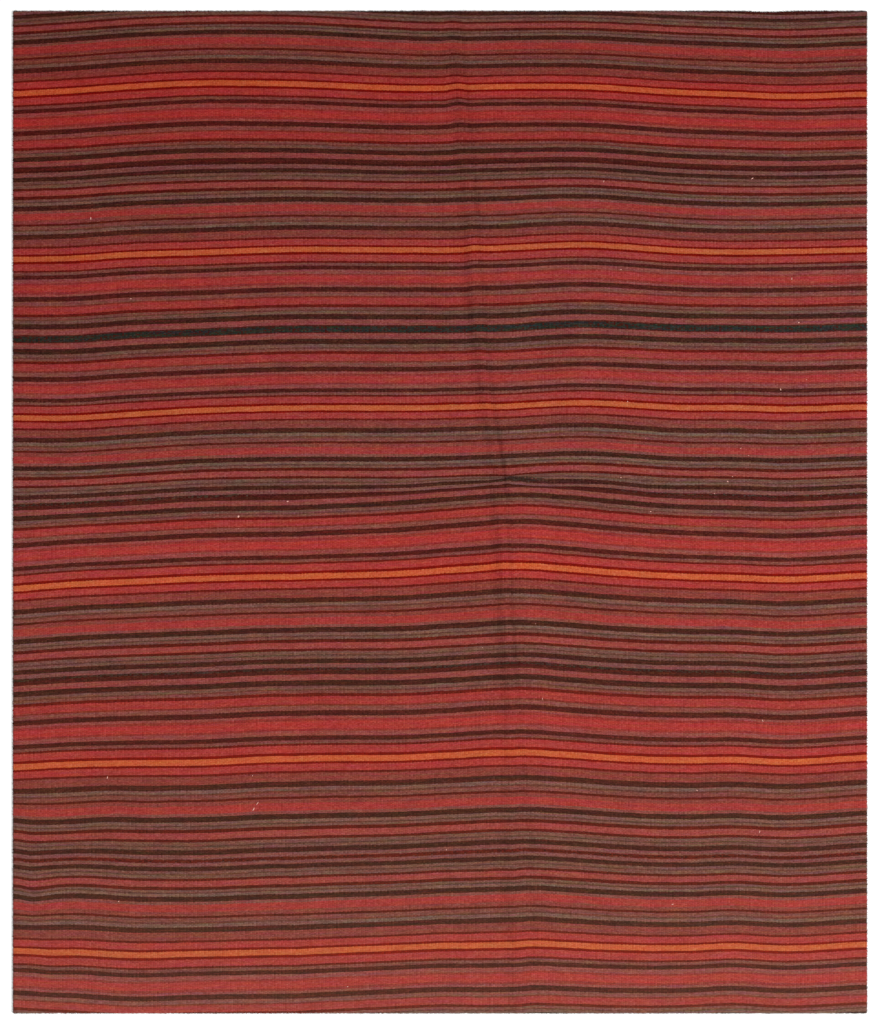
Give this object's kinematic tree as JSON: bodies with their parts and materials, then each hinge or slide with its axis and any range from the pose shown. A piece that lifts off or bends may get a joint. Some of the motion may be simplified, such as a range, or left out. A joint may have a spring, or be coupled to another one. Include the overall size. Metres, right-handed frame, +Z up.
{
  "type": "turkish kilim",
  "caption": "Flat-woven striped wool rug, a plain rectangle of cloth lying flat, with a soft storage fold along its length and a small pucker.",
  "frame": {"origin": "middle of the underside, on the floor that the cloth lies on", "axes": "+X along the stripes to the right of the picture, +Y along the cloth's length to the top of the picture, +Z up from the floor"},
  "size_m": [1.753, 2.057, 0.0088],
  "materials": {
    "striped_wool": "dull hand-spun wool, weft-faced flat weave in soft madder reds, rose, orange, fawn and dark brown stripes"
  },
  "bodies": {
    "root": {"kilim_cloth": "striped_wool"}
  },
  "joints": []
}
